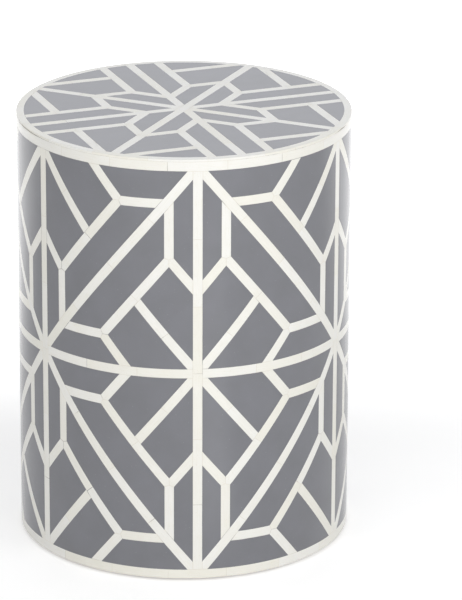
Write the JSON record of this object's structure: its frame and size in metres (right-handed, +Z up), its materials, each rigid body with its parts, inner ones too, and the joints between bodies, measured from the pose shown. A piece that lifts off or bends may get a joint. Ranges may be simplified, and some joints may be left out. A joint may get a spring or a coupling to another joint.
{
  "type": "drum side table",
  "caption": "Drum-shaped side table with a flat round top, its wooden carcass covered in a flush inlay of bone strips and grey resin in a star and hexagon pattern.",
  "frame": {"origin": "on the floor, under the middle of the drum", "axes": "+Z up along the drum axis; the front, with the vertical that the picture shows in the middle, is -Y"},
  "size_m": [0.35, 0.35, 0.46],
  "materials": {
    "bone": "polished bone, warm white",
    "resin": "cast resin, grey, polished",
    "board": "medium density fibreboard, sawn",
    "bent_panel": "bent fibreboard, raw",
    "batten_wood": "planed softwood",
    "steel": "zinc plated",
    "nylon": "moulded nylon, black"
  },
  "bodies": {
    "root": {"base_board": "board", "base_board_screws": "steel", "batten_1": "batten_wood", "batten_2": "batten_wood", "batten_3": "batten_wood", "batten_4": "batten_wood", "batten_5": "batten_wood", "batten_6": "batten_wood", "glide_1": "nylon", "glide_2": "nylon", "glide_3": "nylon", "glide_4": "nylon", "glide_nails": "steel", "middle_ring": "board", "middle_ring_screws": "steel", "panel_brads": "steel", "shell_panel_1": "bent_panel", "shell_panel_2": "bent_panel", "shell_panel_3": "bent_panel", "shell_panel_4": "bent_panel", "shell_panel_5": "bent_panel", "shell_panel_6": "bent_panel", "side_arrow_resin": "resin", "side_diagonal_bones": "bone", "side_hexagon_level_bones": "bone", "side_hexagon_resin": "resin", "side_hexagon_side_bones": "bone", "side_hexagon_upright_bones": "bone", "side_link_bones": "bone", "side_lower_rim_bones": "bone", "side_middle_band_bones": "bone", "side_rim_kite_resin": "resin", "side_short_diagonal_bones": "bone", "side_trapezoid_resin": "resin", "side_upper_rim_bones": "bone", "side_upright_kite_resin": "resin", "side_vertical_bones": "bone", "top_arrow_resin": "resin", "top_board": "board", "top_board_screws": "steel", "top_diagonal_bones": "bone", "top_hexagon_level_bones": "bone", "top_hexagon_resin": "resin", "top_hexagon_side_bones": "bone", "top_hexagon_upright_bones": "bone", "top_link_bones": "bone", "top_rim_bones": "bone", "top_rim_kite_resin": "resin", "top_short_diagonal_bones": "bone", "top_spoke_bones": "bone", "top_trapezoid_resin": "resin", "top_upright_kite_resin": "resin"}
  },
  "joints": []
}
